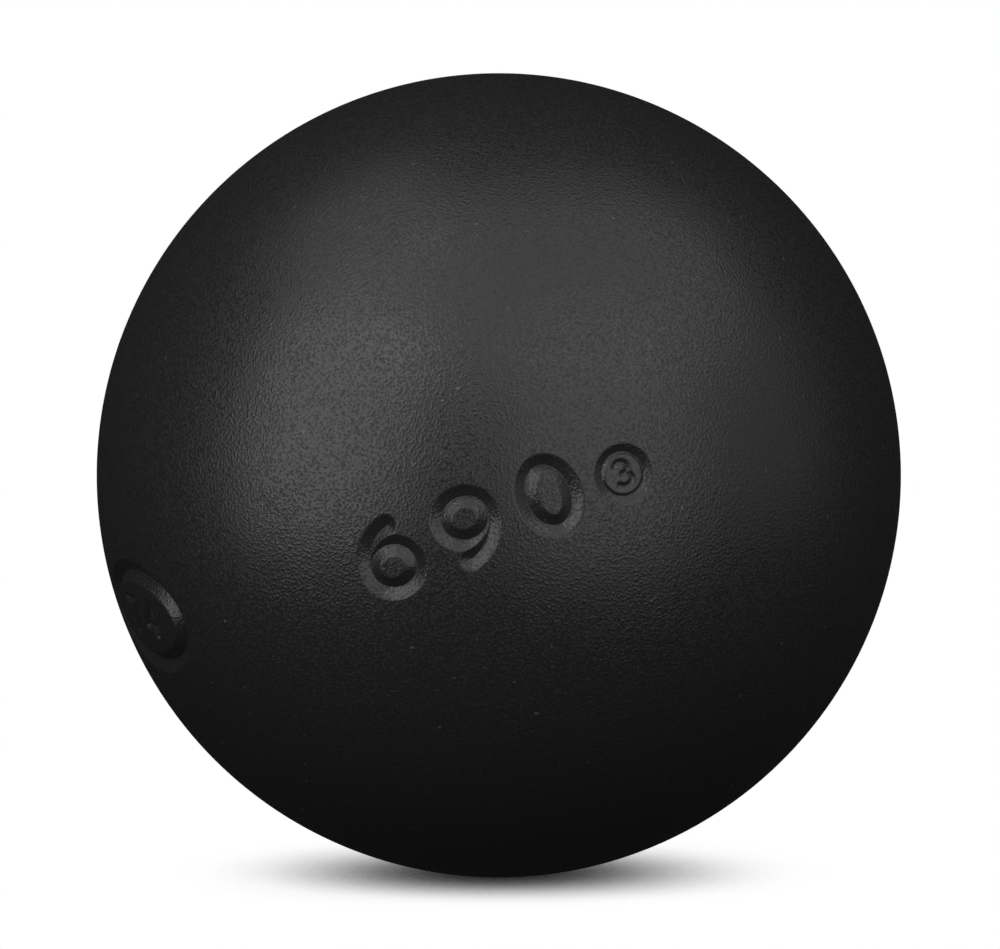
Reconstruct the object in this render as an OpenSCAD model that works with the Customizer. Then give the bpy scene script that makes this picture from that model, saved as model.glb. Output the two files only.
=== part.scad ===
// Competition petanque boule: a hollow steel ball made of two forged half shells.
// Each half shell is bevelled round its rim. The two bevels form a V, a weld bead fills it
// and comes through into the cavity, and the outside is then turned to one true sphere.
// Lengths are in millimetres. +Z is up and the origin is the centre of the ball.
// The weld lies in the plane y = 0, and the front half shell is the one towards -Y.

/* [Ball] */
// Outer diameter of the finished ball
ball_d = 74; // [70.5:0.1:80]
// Wall thickness of the half shells
wall = 6; // [5:0.1:8]

/* [Weld preparation] */
// Gap left between the two rims before they are welded
root_gap = 1.6; // [0.8:0.1:2.4]
// Depth of the flat land between the cavity and the start of the bevel
root_face = 1.2; // [0.6:0.1:2]
// Angle of each bevel to the plane of the weld, in degrees
bevel_angle = 30; // [25:1:37]

/* [Weld root bead] */
// Width of the bead that stands inside the cavity
root_bead_w = 5; // [4:0.1:8]
// Height of that bead's crest above the cavity wall
root_bead_h = 1; // [0.8:0.1:2]

/* [Hidden] */
$fn = 144;
coat_colour = "#1e1e1f";

// How far the outline of a cut runs past the ball
overrun = 2;

// Radii, all from the centre of the ball
ball_r = ball_d / 2;
cavity_r = ball_r - wall;
land_r = cavity_r + root_face;
reach = ball_r + overrun;

// Places on the rim, as distances from the plane of the weld
land_y = root_gap / 2;
bevel_end_y = land_y + (reach - land_r) * tan(bevel_angle);

// The root bead's section is an arc through its two toes on the cavity wall and its crest
toe_y = root_bead_w / 2;
toe_r = sqrt(pow(cavity_r, 2) - pow(toe_y, 2));
crest_r = cavity_r - root_bead_h;
bead_rise = toe_r - crest_r;
bead_arc_r = (pow(toe_y, 2) + pow(bead_rise, 2)) / (2 * bead_rise);

// The sections below lie in a half plane through the weld's axis:
// x is the distance from that axis, and y is the distance in front of the plane of the weld.

// All that lies in front of one finished rim
module front_of_rim() {
    polygon([
        [0, land_y],
        [land_r, land_y],
        [reach, bevel_end_y],
        [reach, reach],
        [0, reach]
    ]);
}

// Section of the front half shell
module half_shell_section() {
    difference() {
        intersection() {
            circle(d = ball_d);
            front_of_rim();
        }
        circle(r = cavity_r);
    }
}

// The V between the two rims, from the cavity wall outwards
module v_groove_section() {
    polygon([
        [cavity_r, land_y],
        [land_r, land_y],
        [reach, bevel_end_y],
        [reach, -bevel_end_y],
        [land_r, -land_y],
        [cavity_r, -land_y]
    ]);
}

// Section of the weld: the V and the root bead, trimmed by the ball and by both half shells
module weld_section() {
    difference() {
        intersection() {
            circle(d = ball_d);
            union() {
                v_groove_section();
                translate([crest_r + bead_arc_r, 0]) circle(r = bead_arc_r);
            }
        }
        half_shell_section();
        mirror([0, 1]) half_shell_section();
    }
}

// Turns a section about the weld's axis and lays that axis along Y, with the front to -Y
module turned() {
    rotate([90, 0, 0]) rotate_extrude() children();
}

module front_half_shell() {
    color(coat_colour) turned() half_shell_section();
}

module back_half_shell() {
    color(coat_colour) turned() mirror([0, 1]) half_shell_section();
}

module weld_bead() {
    color(coat_colour) turned() weld_section();
}

front_half_shell();
back_half_shell();
weld_bead();
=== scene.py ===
"""Looks of a petanque boule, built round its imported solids.

The ball is two forged half shells and the weld that joins them. Each of the three gets a
detailed mesh here: a matt black coat with a leathery grain outside, bare steel inside, and
plain numbers stamped into the front half. Lengths are in metres, or in millimetres where a
name ends in mm. +Z is up, the origin is the centre of the ball, and the front half is the
one towards -Y.
"""

import math

import bmesh
import bpy
import numpy as np
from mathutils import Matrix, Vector, noise


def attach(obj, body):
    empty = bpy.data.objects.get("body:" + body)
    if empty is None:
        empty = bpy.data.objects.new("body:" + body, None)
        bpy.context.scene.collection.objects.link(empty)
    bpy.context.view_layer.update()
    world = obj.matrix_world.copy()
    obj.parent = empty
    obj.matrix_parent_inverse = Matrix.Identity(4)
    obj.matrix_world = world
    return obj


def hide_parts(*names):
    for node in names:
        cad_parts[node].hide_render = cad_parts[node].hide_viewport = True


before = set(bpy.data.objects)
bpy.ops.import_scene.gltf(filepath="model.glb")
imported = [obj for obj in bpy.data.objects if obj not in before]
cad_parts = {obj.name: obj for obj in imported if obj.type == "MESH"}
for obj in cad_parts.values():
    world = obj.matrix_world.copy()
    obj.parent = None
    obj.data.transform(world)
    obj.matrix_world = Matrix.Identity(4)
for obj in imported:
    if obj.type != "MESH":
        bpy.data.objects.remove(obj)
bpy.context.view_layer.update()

MM = 0.001


# Sizes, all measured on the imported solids

def node_points(name):
    """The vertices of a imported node, one row each."""
    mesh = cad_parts[name].data
    flat = np.empty(3 * len(mesh.vertices), np.float32)
    mesh.vertices.foreach_get("co", flat)
    return flat.reshape(-1, 3).astype(float)


def ring_radius(points):
    """Distances of points from the weld's axis, which is Y."""
    return np.hypot(points[:, 0], points[:, 2])


shell_points = node_points("front_half_shell")
weld_points = node_points("weld_bead")
shell_reach = np.linalg.norm(shell_points, axis=1)
weld_reach = np.linalg.norm(weld_points, axis=1)
TOUCH = 0.01 * MM

BALL_R = shell_reach.max()
CAVITY_R = shell_reach.min()
LAND_Y = -shell_points[:, 1].max()
LAND_R = ring_radius(shell_points[shell_points[:, 1] > -LAND_Y - TOUCH]).max()
RIM_Y = weld_points[:, 1].max()
RIM_R = math.sqrt(BALL_R**2 - RIM_Y**2)
INNER_RIM_R = math.sqrt(CAVITY_R**2 - LAND_Y**2)
CREST_R = ring_radius(weld_points).min()
TOE_Y = weld_points[weld_reach < CAVITY_R + TOUCH, 1].max()
TOE_R = math.sqrt(CAVITY_R**2 - TOE_Y**2)


# Glyphs
# A glyph is a list of paths, each a row of points in millimetres from the middle of the glyph.

def arc(middle, radii, start, end, steps=24):
    """Points along an ellipse from one angle to another, in degrees."""
    turn = np.radians(np.linspace(start, end, steps + 1))
    across = middle[0] + radii[0] * np.cos(turn)
    up = middle[1] + radii[1] * np.sin(turn)
    return np.stack([across, up], axis=1)


def oval(half_width, half_height, steps=72):
    """A closed ring round the middle."""
    return [arc((0, 0), (half_width, half_height), 0, 360, steps)]


def zero():
    return oval(2.0, 2.8, 48)


def six():
    bowl = arc((0, -0.9), (2.15, 1.95), 0, 360, 48)
    stem = arc((1.95, -0.9), (4.1, 3.8), 180, 106)
    return [bowl, stem]


def nine():
    return [-path for path in six()]


def three():
    return [arc((0, 1.45), (1.65, 1.55), 150, -90), arc((0, -1.45), (1.9, 1.55), 90, -150)]


def seven():
    return [np.array([(-1.9, 3.0), (1.9, 3.0), (-0.5, -3.0)])]


def four():
    slope_and_bar = np.array([(0.8, 3.0), (-1.9, -1.1), (2.0, -1.1)])
    upright = np.array([(0.8, 3.0), (0.8, -3.0)])
    return [slope_and_bar, upright]


def small(glyph, scale):
    """The same glyph at another size."""
    return [path * scale for path in glyph]


# Stamped marks

WALL_SLOPE = math.tan(math.radians(34))
SHOULDER_MM = 0.13

# Half widths of the grooves that the number stamps, the small stamps and the rings leave
STAMP_MM = 1.0
SMALL_STAMP_MM = 0.5
TINY_STAMP_MM = 0.36
OVAL_MM = 1.0
RING_MM = 0.75

# Places of the marks: degrees across and up from the middle of the front, and tilt
MASS_PLACE = (-4.2, -3.2, 21.6)
SET_PLACE = (17.4, 4.0, 21.6)
SIZE_PLACE = (-67.3, -18.9, -3.0)

# Steps between the figures of a number, and how small the small figures are
MASS_PITCH_MM = 7.7
SIZE_PITCH_MM = 3.9
SIZE_SCALE = 0.52
SET_SCALE = 0.37

# The ring's radius, its pocket's opening and depth, and the oval's half width and half height
SET_RING_MM = 1.98
SET_POCKET_MM = (2.73, 0.32)
SIZE_OVAL_MM = (7.4, 4.4)

# How far from its middle a mark can reach, as a share of the ball's radius
STAMP_REACH = 0.3


def unit(vectors):
    """The same directions with length 1."""
    return vectors / np.linalg.norm(vectors, axis=-1, keepdims=True)


def stamp(glyph, groove_mm, place, along_mm=0.0, pocket_mm=(0.0, 0.0)):
    """A glyph stamped into the ball.

    place gives the middle of its row in degrees across and up, and how far the row is tilted.
    along_mm is the glyph's distance from there, measured round the ball. A pocket is a round
    floor inside the glyph, given by the radius of its opening and its depth.
    """
    across, up, tilt = (math.radians(angle) for angle in place)
    level = math.cos(up)
    middle = np.array([math.sin(across) * level, -math.cos(across) * level, math.sin(up)])
    east = np.array([math.cos(across), math.sin(across), 0.0])
    north = np.cross(middle, east)
    right = east * math.cos(tilt) + north * math.sin(tilt)
    top = north * math.cos(tilt) - east * math.sin(tilt)
    turn = along_mm * MM / BALL_R
    return {
        "paths": [path * MM for path in glyph],
        "middle": middle * math.cos(turn) + right * math.sin(turn),
        "right": right * math.cos(turn) - middle * math.sin(turn),
        "top": top,
        "half_width": groove_mm * MM,
        "pocket_radius": pocket_mm[0] * MM,
        "pocket_depth": pocket_mm[1] * MM,
    }


STAMPS = [
    # The ball's mass in grams
    stamp(six(), STAMP_MM, MASS_PLACE, along_mm=-MASS_PITCH_MM),
    stamp(nine(), STAMP_MM, MASS_PLACE),
    stamp(zero(), STAMP_MM, MASS_PLACE, along_mm=MASS_PITCH_MM),
    # Its number in the set, in a ring
    stamp(oval(SET_RING_MM, SET_RING_MM), RING_MM, SET_PLACE, pocket_mm=SET_POCKET_MM),
    stamp(small(three(), SET_SCALE), TINY_STAMP_MM, SET_PLACE),
    # Its diameter in millimetres, in an oval
    stamp(oval(*SIZE_OVAL_MM), OVAL_MM, SIZE_PLACE),
    stamp(small(seven(), SIZE_SCALE), SMALL_STAMP_MM, SIZE_PLACE, along_mm=-SIZE_PITCH_MM / 2),
    stamp(small(four(), SIZE_SCALE), SMALL_STAMP_MM, SIZE_PLACE, along_mm=SIZE_PITCH_MM / 2),
]


def path_distance(points, path):
    """Distance of each flat point from a path."""
    nearest = np.full(len(points), np.inf)
    for start, end in zip(path[:-1], path[1:]):
        step = end - start
        length2 = max(step @ step, TOUCH**2)
        along = np.clip((points - start) @ step / length2, 0, 1)
        gap = points - start - along[:, None] * step
        nearest = np.minimum(nearest, np.hypot(gap[:, 0], gap[:, 1]))
    return nearest


def groove_depth(distance, half_width):
    """Depth of a V groove with soft shoulders, at a distance from its bottom line."""
    shoulder = SHOULDER_MM * MM
    into = half_width - distance
    soft = np.clip((into + shoulder) / (2 * shoulder), 0, 1)
    return WALL_SLOPE * np.where(into > shoulder, into, shoulder * soft**2)


def mark_depth(mark, flat):
    """Depth of one mark at flat points round its middle, and their distance from its groove."""
    distance = np.min([path_distance(flat, path) for path in mark["paths"]], axis=0)
    into_pocket = mark["pocket_radius"] - np.hypot(flat[:, 0], flat[:, 1])
    pocket = np.clip(WALL_SLOPE * into_pocket, 0, mark["pocket_depth"])
    depth = np.maximum(groove_depth(distance, mark["half_width"]), pocket)
    return depth, distance - mark["half_width"]


def marks_at(directions):
    """Depth of the marks below each direction, and how far it is from the nearest groove."""
    depth = np.zeros(len(directions))
    clear = np.full(len(directions), BALL_R)
    for mark in STAMPS:
        away = np.linalg.norm(directions - mark["middle"], axis=1)
        near = np.flatnonzero(away < STAMP_REACH)
        axes = np.stack([mark["right"], mark["top"]], axis=1)
        mark_part, mark_clear = mark_depth(mark, BALL_R * directions[near] @ axes)
        depth[near] += mark_part
        clear[near] = np.minimum(clear[near], mark_clear)
    return depth, clear


# Meshes
# A patch is one smooth stretch of surface, with its own points, faces, normals and material slot.

# Cells along a side of the grid over each half, and steps of a ring round the weld's axis
GRID = 96
RING_STEPS = 4 * GRID
# How far to each side a slope is measured, and how near to each other two points are one
PROBE = 0.02 * MM
MERGE = 1e-8
# The share of straight up or down from which a direction's tangents are taken from X, not Z
STEEP = 0.9
# The material slots of a piece
COAT, BARE = 0, 1


def patch(points, faces, normals, slot, stamped=None):
    """A patch whose faces are turned to look the way its normals point."""
    corner, second, third = (points[faces[:, k]] for k in range(3))
    across = np.cross(second - corner, third - corner)
    facing = np.einsum("ij,ij->i", across, normals[faces[:, 0]])
    faces = np.where(facing[:, None] < 0, faces[:, ::-1], faces)
    stamped = np.zeros(len(points)) if stamped is None else stamped
    return {"points": points, "faces": faces, "normals": normals, "slot": slot, "stamped": stamped}


def mirrored(parts):
    """The same patches on the other side of the weld."""
    flip = np.array([1.0, -1.0, 1.0])
    copies = []
    for part in parts:
        points, normals = part["points"] * flip, part["normals"] * flip
        copies.append(patch(points, part["faces"], normals, part["slot"], part["stamped"]))
    return copies


def cap_directions(end_angle):
    """A square grid of directions, laid over the front of a ball out to end_angle from its middle."""
    steps = np.linspace(-1.0, 1.0, GRID + 1)
    a, b = np.meshgrid(steps, steps, indexing="ij")
    wide = np.abs(a) >= np.abs(b)
    reach = np.where(wide, a, b)
    ratio = np.divide(np.where(wide, b, a), reach, out=np.zeros_like(a), where=reach != 0)
    turn = np.where(wide, ratio, 2.0 - ratio) * math.pi / 4
    tilt = reach * end_angle
    grid = np.stack([np.sin(tilt) * np.cos(turn), -np.cos(tilt), np.sin(tilt) * np.sin(turn)], axis=-1)
    return grid.reshape(-1, 3)


def cap_faces():
    """Two triangles for each cell of the grid, split along the line towards the middle."""
    index = np.arange((GRID + 1) ** 2).reshape(GRID + 1, GRID + 1)
    a, b = index[:-1, :-1].ravel(), index[1:, :-1].ravel()
    c, d = index[1:, 1:].ravel(), index[:-1, 1:].ravel()
    low = np.arange(GRID) < GRID // 2
    same = (low[:, None] == low[None, :]).ravel()[:, None]
    first = np.where(same, np.stack([a, b, c], axis=1), np.stack([a, b, d], axis=1))
    second = np.where(same, np.stack([a, c, d], axis=1), np.stack([b, c, d], axis=1))
    return np.concatenate([first, second])


def tangents(directions):
    """Two unit vectors across each direction, square to it and to each other."""
    steep = np.abs(directions[:, 2:]) >= STEEP
    axis = np.where(steep, (1.0, 0.0, 0.0), (0.0, 0.0, 1.0))
    side = unit(np.cross(directions, axis))
    return side, np.cross(directions, side)


def shaped_sphere(directions, radius, height):
    """Points and outward normals of a sphere that height(directions) raises or lowers."""
    slopes = []
    for across in tangents(directions):
        step = across * PROBE / radius
        rise = height(unit(directions + step)) - height(unit(directions - step))
        slopes.append(across * rise[:, None] / (2 * PROBE))
    points = directions * (radius + height(directions))[:, None]
    return points, unit(directions - slopes[0] - slopes[1])


def turned_grid(section):
    """The points of a section, as rows of radius and y, turned about the weld's axis."""
    turn = np.arange(RING_STEPS) * 2 * math.pi / RING_STEPS - math.pi / 4
    radius, y = section[:, 0, None], section[:, 1, None]
    return np.stack([radius * np.cos(turn), y + 0 * turn, radius * np.sin(turn)], axis=-1)


def grid_faces(rows, columns):
    """Four-sided faces between the rows of a grid whose columns close into rings."""
    index = np.arange(rows * columns).reshape(rows, columns)
    after = np.roll(index, -1, axis=1)
    cells = (index[:-1], after[:-1], after[1:], index[1:])
    return np.stack([cell.ravel() for cell in cells], axis=1)


def turned_patch(section, slot, lift=None):
    """A turned section. It runs with the solid on its left, and lift raises its inner points."""
    grid = turned_grid(section)
    if lift is not None:
        grid = grid + lift(grid)
    along = np.gradient(grid, axis=0)
    around = np.roll(grid, -1, axis=1) - np.roll(grid, 1, axis=1)
    normals = unit(np.cross(along, around)).reshape(-1, 3)
    return patch(grid.reshape(-1, 3), grid_faces(*grid.shape[:2]), normals, slot)


def straight(start, end, steps):
    """Evenly spaced points of a section from one corner to the next."""
    return np.linspace(start, end, steps + 1)


def merge_points(points):
    """The first of each group of points that coincide, and the group that each point is in."""
    cells = np.rint(points / MERGE).astype(np.int64)
    _, first, group = np.unique(cells, axis=0, return_index=True, return_inverse=True)
    return first, group.ravel()


def join(name, parts, materials):
    """One closed mesh from patches that meet edge to edge."""
    points = np.concatenate([part["points"] for part in parts])
    stamped = np.concatenate([part["stamped"] for part in parts])
    first, merged = merge_points(points)
    faces, normals, slots, offset = [], [], [], 0
    for part in parts:
        faces += merged[part["faces"] + offset].tolist()
        normals.append(part["normals"][part["faces"]].reshape(-1, 3))
        slots += [part["slot"]] * len(part["faces"])
        offset += len(part["points"])
    mesh = bpy.data.meshes.new(name)
    mesh.from_pydata(points[first].tolist(), [], faces)
    mesh.polygons.foreach_set("material_index", slots)
    mesh.attributes.new("stamped", "FLOAT", "POINT").data.foreach_set("value", stamped[first])
    mesh.normals_split_custom_set(np.concatenate(normals).tolist())
    for material in materials:
        mesh.materials.append(material)
    piece = bpy.data.objects.new(name, mesh)
    bpy.context.scene.collection.objects.link(piece)
    return piece


# Finer triangles round the marks

# The longest edge of a face in a mark, and how fast that length grows away from the mark
FINE_EDGE = 0.13 * MM
GRADE = 0.4


def wanted_edge(directions):
    """The longest edge that a face may have at each direction."""
    _, clear = marks_at(directions)
    return FINE_EDGE + GRADE * np.maximum(clear - SHOULDER_MM * MM, 0)


def face_edges(faces):
    """The edges of triangles as pairs of points, and which three of them each triangle has."""
    pairs = np.stack([faces, np.roll(faces, -1, axis=1)], axis=-1).reshape(-1, 2)
    edges, edge_of = np.unique(np.sort(pairs, axis=1), axis=0, return_inverse=True)
    return edges, edge_of.reshape(-1, 3)


def cut_longest(cut, edge_of, longest_edge):
    """Marks the longest edge of each face that has a cut edge, until none is missing."""
    while True:
        needed = longest_edge[cut[edge_of].any(axis=1)]
        if cut[needed].all():
            return
        cut[needed] = True


def split_faces(faces, middles):
    """Splits each face at its edges' middles. The first middle is that of its longest edge."""
    a, b, c = faces.T
    ab, bc, ca = middles.T
    whole, cut_bc, cut_ca = ab < 0, bc >= 0, ca >= 0
    pieces = [faces[whole]]
    for keep, corners in (
        (~whole & cut_bc, ((ab, b, bc), (ab, bc, c))),
        (~whole & ~cut_bc, ((ab, b, c),)),
        (~whole & cut_ca, ((a, ab, ca), (ab, c, ca))),
        (~whole & ~cut_ca, ((a, ab, c),)),
    ):
        pieces += [np.stack(triangle, axis=1)[keep] for triangle in corners]
    return np.concatenate(pieces)


def refine(directions, faces):
    """Splits edges until none is longer than wanted. A face's longest edge is always split first."""
    while True:
        edges, edge_of = face_edges(faces)
        start, end = directions[edges[:, 0]], directions[edges[:, 1]]
        length = BALL_R * np.linalg.norm(end - start, axis=1)
        middle = unit(start + end)
        cut = length > wanted_edge(middle)
        if not cut.any():
            return directions, faces
        longest = np.argmax(length[edge_of], axis=1)[:, None]
        cut_longest(cut, edge_of, np.take_along_axis(edge_of, longest, axis=1).ravel())
        new_point = np.where(cut, len(directions) - 1 + np.cumsum(cut), -1)
        order = (longest + np.arange(3)) % 3
        turned_faces = np.take_along_axis(faces, order, axis=1)
        faces = split_faces(turned_faces, np.take_along_axis(new_point[edge_of], order, axis=1))
        directions = np.concatenate([directions, middle[cut]])


# The half shells

# The cavity wall's waves: height, size, and how far from the weld they have their full height
FORGED_WAVE = 0.12 * MM
FORGED_WAVE_SIZE = 7 * MM
FORGED_FADE = 6 * MM
BEVEL_STEPS = 5
LAND_STEPS = 2


def mark_height(directions):
    """The stamped outside, which is lower wherever a mark is."""
    return -marks_at(directions)[0]


def plain_height(directions):
    """The outside where nothing is stamped."""
    return np.zeros(len(directions))


def forged_height(directions):
    """The slightly uneven cavity wall, which is true again next to the weld."""
    waves = np.array([noise.noise(Vector(point)) for point in directions * CAVITY_R / FORGED_WAVE_SIZE])
    from_toe = np.abs(directions[:, 1]) * CAVITY_R - TOE_Y
    return FORGED_WAVE * waves * np.clip(from_toe / FORGED_FADE, 0, 1)


def half_shell_patches(marked):
    """A half shell in front of the weld: its outside, its bevel, its land and its cavity wall."""
    directions, faces = cap_directions(math.acos(RIM_Y / BALL_R)), cap_faces()
    if marked:
        directions, faces = refine(directions, faces)
    height = mark_height if marked else plain_height
    outside, outside_normals = shaped_sphere(directions, BALL_R, height)
    inner_directions = cap_directions(math.acos(LAND_Y / CAVITY_R))
    inside, inside_normals = shaped_sphere(inner_directions, CAVITY_R, forged_height)
    return [
        patch(outside, faces, outside_normals, COAT, -height(directions) / MM),
        turned_patch(straight((RIM_R, -RIM_Y), (LAND_R, -LAND_Y), BEVEL_STEPS), BARE),
        turned_patch(straight((LAND_R, -LAND_Y), (INNER_RIM_R, -LAND_Y), LAND_STEPS), BARE),
        patch(inside, cap_faces(), -inside_normals, BARE),
    ]


# The weld

# The root bead's ripples: number, height, how much they bow, and how full their tops are
RIPPLE_COUNT = 84
RIPPLE_HEIGHT = 0.16 * MM
RIPPLE_BOW = 1.1
RIPPLE_POWER = 0.7
# Slow shifts of the ripples: how far, how many times round the ring, and where they start
RIPPLE_SHIFTS = ((0.5, 5, 0), (0.3, 11, 1))
BAND_STEPS = 8
BEAD_STEPS = 16
TOE_STEPS = 2


def weld_ripple(grid):
    """Raises the root bead into the crescents that a weld pool leaves."""
    turn = np.arctan2(grid[..., 2], grid[..., 0])
    side = grid[..., 1] / TOE_Y
    wander = sum(size * np.sin(times * turn + start) for size, times, start in RIPPLE_SHIFTS)
    phase = RIPPLE_COUNT * turn / 2 + RIPPLE_BOW * side**2 + wander
    height = RIPPLE_HEIGHT * np.abs(np.sin(phase)) ** RIPPLE_POWER * (1 - side**2)
    inward = -unit(grid * (1.0, 0.0, 1.0))
    return inward * height[..., None]


def bead_section():
    """The root bead's arc, from its toe behind to its toe in front."""
    rise = TOE_R - CREST_R
    radius = (TOE_Y**2 + rise**2) / (2 * rise)
    reach = math.asin(TOE_Y / radius)
    turn = np.linspace(reach, -reach, BEAD_STEPS + 1)
    return np.stack([CREST_R + radius - radius * np.cos(turn), radius * np.sin(turn)], axis=1)


def sphere_section(radius, start_y, end_y, steps):
    """A stretch of a sphere's arc."""
    y = np.linspace(start_y, end_y, steps + 1)
    return np.stack([np.sqrt(radius**2 - y**2), y], axis=1)


def weld_patches():
    """The weld: a band flush with the ball, two bevels, two lands and the root bead inside."""
    band = turned_grid(sphere_section(BALL_R, -RIM_Y, RIM_Y, BAND_STEPS))
    directions = unit(band.reshape(-1, 3))
    outside, outside_normals = shaped_sphere(directions, BALL_R, plain_height)
    return [
        patch(outside, grid_faces(*band.shape[:2]), outside_normals, COAT),
        turned_patch(straight((RIM_R, RIM_Y), (LAND_R, LAND_Y), BEVEL_STEPS), BARE),
        turned_patch(straight((LAND_R, LAND_Y), (INNER_RIM_R, LAND_Y), LAND_STEPS), BARE),
        turned_patch(sphere_section(CAVITY_R, LAND_Y, TOE_Y, TOE_STEPS), BARE),
        turned_patch(bead_section(), BARE, weld_ripple),
        turned_patch(sphere_section(CAVITY_R, -TOE_Y, -LAND_Y, TOE_STEPS), BARE),
        turned_patch(straight((INNER_RIM_R, -LAND_Y), (LAND_R, -LAND_Y), LAND_STEPS), BARE),
        turned_patch(straight((LAND_R, -LAND_Y), (RIM_R, -RIM_Y), BEVEL_STEPS), BARE),
    ]


# Nodes

def new_material(name):
    """An empty node material, its node tree and its surface shader."""
    material = bpy.data.materials.new(name)
    material.use_nodes = True
    return material, material.node_tree, material.node_tree.nodes["Principled BSDF"]


def add_node(tree, kind, inputs=None, **settings):
    """A node with its settings. An input is given a value, or the socket that feeds it."""
    node = tree.nodes.new(kind)
    for key, value in settings.items():
        setattr(node, key, value)
    for key, value in (inputs or {}).items():
        if isinstance(value, bpy.types.NodeSocket):
            tree.links.new(value, node.inputs[key])
        else:
            node.inputs[key].default_value = value
    return node


def grain(tree, size_mm, detail=2.0, roughness=0.5):
    """Noise in the ball's own space, with features of about the given size."""
    place = add_node(tree, "ShaderNodeTexCoord").outputs["Object"]
    inputs = {"Vector": place, "Scale": 1 / (size_mm * MM), "Detail": detail, "Roughness": roughness}
    return add_node(tree, "ShaderNodeTexNoise", inputs).outputs["Fac"]


def remap(tree, value, limits, **settings):
    """Maps values from the first two limits onto the last two and holds them there."""
    inputs = {"Value": value}
    inputs.update(zip(("From Min", "From Max", "To Min", "To Max"), limits))
    return add_node(tree, "ShaderNodeMapRange", inputs, **settings).outputs["Result"]


def maths(tree, operation, first, second):
    inputs = {0: first, 1: second}
    return add_node(tree, "ShaderNodeMath", inputs, operation=operation).outputs[0]


def grey(tree, value):
    """A value as a neutral colour."""
    inputs = {"Red": value, "Green": value, "Blue": value}
    return add_node(tree, "ShaderNodeCombineColor", inputs).outputs[0]


def bumped(tree, height, distance):
    """The surface's normal, tilted by a height that stands for the given distance at 1."""
    inputs = {"Strength": 1.0, "Distance": distance, "Height": height}
    return add_node(tree, "ShaderNodeBump", inputs).outputs["Normal"]


def feed_shader(tree, shader, tone, roughness, normal, metallic=0.0):
    """Gives a surface shader its grey tone, its roughness, its bumps and how metallic it is."""
    tree.links.new(grey(tree, tone), shader.inputs["Base Color"])
    tree.links.new(roughness, shader.inputs["Roughness"])
    tree.links.new(normal, shader.inputs["Normal"])
    shader.inputs["Metallic"].default_value = metallic


# The ball's materials
# Limits are four values, and remap maps the first two onto the last two.

COAT_GRAIN = {"size_mm": 0.24, "detail": 0.8, "roughness": 0.4}
COAT_GRAIN_HEIGHT = 0.060 * MM
# The coat's tone by grain height: darker in the pits, which is painted shade, and paler on the tops
COAT_TONE_AND_PIT_SHADE = (0.3, 0.7, 0.013, 0.019)
COAT_ROUGHNESS = (0.32, 0.60, 0.60, 0.22)

# Broad patches where the grain stands lower or higher
PATCH_SIZE_MM = 5.0
PATCH_HEIGHT = (0.35, 0.65, 0.7, 1.15)

# A few pale specks
SPECK_GRAIN = {"size_mm": 0.55, "detail": 0.0}
SPECK_TONE = (0.84, 0.88, 0.0, 0.05)

# In the stamps the grain is calmer and the coat is paler and smoother, by depth in millimetres
PRESSED = (0.0, 0.35, 0.0, 1.0)
PRESSED_GRAIN_HEIGHT = (0.0, 0.35, 1.0, 0.8)
PRESSED_TONE = 0.004
PRESSED_SMOOTHNESS = 0.08

FORGED_SCALE = {"size_mm": 3.0, "detail": 4.0}
FORGED_SCALE_COVER = (0.35, 0.65, 0.0, 1.0)
FORGED_TONE = (0.0, 1.0, 0.12, 0.32)
FORGED_ROUGHNESS = (0.0, 1.0, 0.62, 0.42)
FORGED_PITS = {"size_mm": 0.8, "detail": 3.0}
FORGED_PIT_DEPTH = 0.05 * MM
FORGED_METALLIC = 0.85

WELD_TARNISH = {"size_mm": 2.0, "detail": 3.0}
WELD_TONE = (0.35, 0.65, 0.22, 0.45)
WELD_GLOSS = {"size_mm": 0.7, "detail": 2.0}
WELD_ROUGHNESS = (0.3, 0.7, 0.30, 0.45)
WELD_PITS = {"size_mm": 0.4, "detail": 2.0}
WELD_PIT_DEPTH = 0.03 * MM
WELD_METALLIC = 0.9


def coat_material():
    """Matt black coat: a fine leathery grain, slightly patchy, with a few pale specks, and painted
    shade that darkens the grain's pits.
    """
    material, tree, shader = new_material("matt_black_coat")
    stamped = add_node(tree, "ShaderNodeAttribute", attribute_name="stamped").outputs["Fac"]
    pressed = remap(tree, stamped, PRESSED)
    ridges = grain(tree, **COAT_GRAIN)
    patches = remap(tree, grain(tree, PATCH_SIZE_MM), PATCH_HEIGHT)
    calm = remap(tree, stamped, PRESSED_GRAIN_HEIGHT)
    height = maths(tree, "MULTIPLY", maths(tree, "MULTIPLY", ridges, patches), calm)
    specks = remap(tree, grain(tree, **SPECK_GRAIN), SPECK_TONE)
    # The grain's pits get a darker tone as painted shade, and the pale specks are added to it
    pit_shaded_tone_with_specks = maths(tree, "ADD", remap(tree, ridges, COAT_TONE_AND_PIT_SHADE), specks)
    tone = maths(tree, "ADD", pit_shaded_tone_with_specks, maths(tree, "MULTIPLY", pressed, PRESSED_TONE))
    grained = remap(tree, ridges, COAT_ROUGHNESS)
    roughness = maths(tree, "SUBTRACT", grained, maths(tree, "MULTIPLY", pressed, PRESSED_SMOOTHNESS))
    feed_shader(tree, shader, tone, roughness, bumped(tree, height, COAT_GRAIN_HEIGHT))
    return material


def forged_steel_material():
    """Bare forged steel with a thin dull scale."""
    material, tree, shader = new_material("forged_steel")
    cover = remap(tree, grain(tree, **FORGED_SCALE), FORGED_SCALE_COVER)
    tone = remap(tree, cover, FORGED_TONE)
    roughness = remap(tree, cover, FORGED_ROUGHNESS)
    normal = bumped(tree, grain(tree, **FORGED_PITS), FORGED_PIT_DEPTH)
    feed_shader(tree, shader, tone, roughness, normal, FORGED_METALLIC)
    return material


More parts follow.
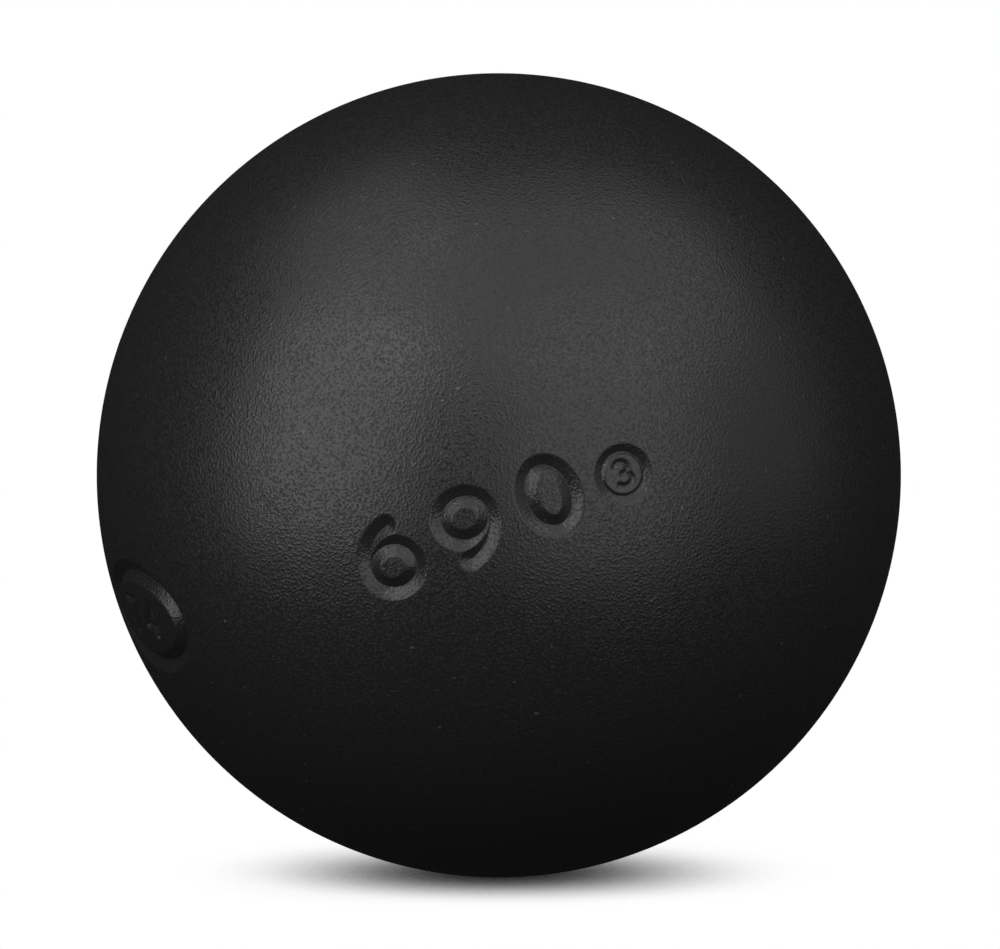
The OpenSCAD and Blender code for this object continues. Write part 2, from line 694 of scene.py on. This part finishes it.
def weld_metal_material():
    """Weld metal as it cooled, brighter than the forging."""
    material, tree, shader = new_material("weld_metal")
    tone = remap(tree, grain(tree, **WELD_TARNISH), WELD_TONE)
    roughness = remap(tree, grain(tree, **WELD_GLOSS), WELD_ROUGHNESS)
    normal = bumped(tree, grain(tree, **WELD_PITS), WELD_PIT_DEPTH)
    feed_shader(tree, shader, tone, roughness, normal, WELD_METALLIC)
    return material


# The three pieces

def place_piece(piece, node):
    """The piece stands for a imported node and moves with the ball."""
    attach(piece, "root")
    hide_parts(node)


def build_ball():
    coat, forged, weld_metal = coat_material(), forged_steel_material(), weld_metal_material()
    front = join("front_half_shell_coated", half_shell_patches(marked=True), [coat, forged])
    back = join("back_half_shell_coated", mirrored(half_shell_patches(marked=False)), [coat, forged])
    weld = join("weld_bead_coated", weld_patches(), [coat, weld_metal])
    place_piece(front, "front_half_shell")
    place_piece(back, "back_half_shell")
    place_piece(weld, "weld_bead")


# The stage: a white floor and background, and a dark studio all round that the coat mirrors

WHITE = (1, 1, 1, 1)
FLOOR_HALF = 1.8
STUDIO_R = 3.0
STUDIO_SUBDIVISIONS = 3
STUDIO_GLOW = 0.009

# The floor's brightness, by how open it is to the light, and how far off the ball can shade it
SHADOW_SHADE = (-0.004, 0.487, 0.0, 1.0)
SHADOW_REACH = 0.5
SHADOW_SAMPLES = 16
# The light that reaches the floor comes mostly from the front
SHADOW_LEAN = math.radians(10)


def seen_directly(tree):
    """1 for rays from the camera, off gloss and through glass, and 0 for all other light."""
    path = add_node(tree, "ShaderNodeLightPath")
    gloss = maths(tree, "MAXIMUM", path.outputs["Is Camera Ray"], path.outputs["Is Glossy Ray"])
    return maths(tree, "MAXIMUM", gloss, path.outputs["Is Transmission Ray"])


def stage_object(name, mesh, material):
    mesh.materials.append(material)
    thing = bpy.data.objects.new(name, mesh)
    bpy.context.scene.collection.objects.link(thing)
    return thing


def glowing_material(name):
    """A surface that only gives off an even white light, its node tree and its light."""
    material, tree, shader = new_material(name)
    tree.nodes.remove(shader)
    light = add_node(tree, "ShaderNodeEmission")
    tree.links.new(light.outputs[0], tree.nodes["Material Output"].inputs["Surface"])
    return material, tree, light


def floor_material():
    """White as the camera sees it, and darker where the ball keeps the light off it."""
    material, tree, light = glowing_material("white_floor")
    lean = {"Y": -math.sin(SHADOW_LEAN), "Z": math.cos(SHADOW_LEAN)}
    towards_light = add_node(tree, "ShaderNodeCombineXYZ", lean).outputs[0]
    inputs = {"Distance": SHADOW_REACH, "Normal": towards_light}
    opening = add_node(tree, "ShaderNodeAmbientOcclusion", inputs, samples=SHADOW_SAMPLES).outputs["AO"]
    shade = remap(tree, opening, SHADOW_SHADE, interpolation_type="SMOOTHSTEP")
    strength = maths(tree, "MULTIPLY", shade, seen_directly(tree))
    tree.links.new(strength, light.inputs["Strength"])
    return material


def studio_material():
    """The dim glow of the dark studio."""
    material, _, light = glowing_material("dark_card")
    light.inputs["Strength"].default_value = STUDIO_GLOW
    return material


def build_floor():
    """A floor that only the camera sees."""
    mesh = bpy.data.meshes.new("floor")
    near, far = -FLOOR_HALF, FLOOR_HALF
    corners = [(x, y, -BALL_R) for x, y in ((near, near), (far, near), (far, far), (near, far))]
    mesh.from_pydata(corners, [], [(0, 1, 2, 3)])
    floor = stage_object("floor", mesh, floor_material())
    floor.visible_diffuse = False
    floor.visible_glossy = False
    floor.visible_shadow = False


def build_studio():
    """The dark studio all round, which the camera doesn't see."""
    mesh = bpy.data.meshes.new("cards_round")
    shell = bmesh.new()
    bmesh.ops.create_icosphere(shell, subdivisions=STUDIO_SUBDIVISIONS, radius=STUDIO_R)
    shell.to_mesh(mesh)
    shell.free()
    stage_object("cards_round", mesh, studio_material()).visible_camera = False


def build_world():
    world = bpy.data.worlds.new("white_background")
    bpy.context.scene.world = world
    world.use_nodes = True
    tree = world.node_tree
    background = tree.nodes["Background"]
    background.inputs["Color"].default_value = WHITE
    tree.links.new(seen_directly(tree), background.inputs["Strength"])


# The lamps

LAMP_DISTANCE = 1.0
# Each lamp: degrees across and up from the front, half width, half height, and radiance
LAMPS = {
    "left": (-51.0, 15.6, 0.49, 0.57, 1.87),
    "right": (28.4, 11.5, 0.51, 0.64, 1.16),
    "high_left": (-85.2, 61.1, 0.35, 0.31, 0.80),
    "top": (25.6, 63.9, 1.09, 0.49, 0.88),
    "far_right": (77.5, 15.9, 0.47, 0.50, 0.32),
}
# A fill for the ball's back, which its gloss doesn't mirror
BACK_FILL = (180.0, 4.0, 0.70, 0.60, 0.9)


def build_lamp(name, across, up, half_width, half_height, radiance):
    """A soft rectangular lamp that faces the ball."""
    light = bpy.data.lights.new(name, "AREA")
    light.shape = "RECTANGLE"
    light.size = 2 * half_width
    light.size_y = 2 * half_height
    light.energy = radiance * math.pi * light.size * light.size_y
    lamp = bpy.data.objects.new(name, light)
    across, up = math.radians(across), math.radians(up)
    towards = Vector((math.sin(across) * math.cos(up), -math.cos(across) * math.cos(up), math.sin(up)))
    lamp.location = towards * LAMP_DISTANCE
    lamp.rotation_euler = (math.pi / 2 - up, 0, across)
    lamp.visible_camera = False
    bpy.context.scene.collection.objects.link(lamp)
    return lamp


def build_lamps():
    for name, values in LAMPS.items():
        build_lamp(name, *values)
    build_lamp("back_fill", *BACK_FILL).visible_glossy = False


# The camera

CAMERA_DISTANCE = 0.8
CAMERA_UP = 4.0
CLIP_START = 0.01
SENSOR = 36.0
# The photograph's frame, and the ball's place in it
IMAGE_WIDTH, IMAGE_HEIGHT = 1000, 949
BALL_RADIUS_PX = 402.2
BALL_MIDDLE_PX = (498.8, 475.3)


def build_camera():
    """A long lens nearly level with the ball, at the photograph's angle."""
    data = bpy.data.cameras.new("camera")
    spread = math.tan(math.asin(BALL_R / CAMERA_DISTANCE))
    data.lens = SENSOR * BALL_RADIUS_PX / spread / IMAGE_WIDTH
    data.sensor_width = SENSOR
    data.shift_x = (IMAGE_WIDTH / 2 - BALL_MIDDLE_PX[0]) / IMAGE_WIDTH
    data.shift_y = (BALL_MIDDLE_PX[1] - IMAGE_HEIGHT / 2) / IMAGE_WIDTH
    data.clip_start = CLIP_START
    camera = bpy.data.objects.new("camera", data)
    up = math.radians(CAMERA_UP)
    camera.location = (0, -CAMERA_DISTANCE * math.cos(up), CAMERA_DISTANCE * math.sin(up))
    camera.rotation_euler = (math.pi / 2 - up, 0, 0)
    bpy.context.scene.collection.objects.link(camera)
    bpy.context.scene.camera = camera


build_camera()
build_ball()
build_floor()
build_studio()
build_world()
build_lamps()
bpy.context.scene.view_settings.view_transform = "Standard"
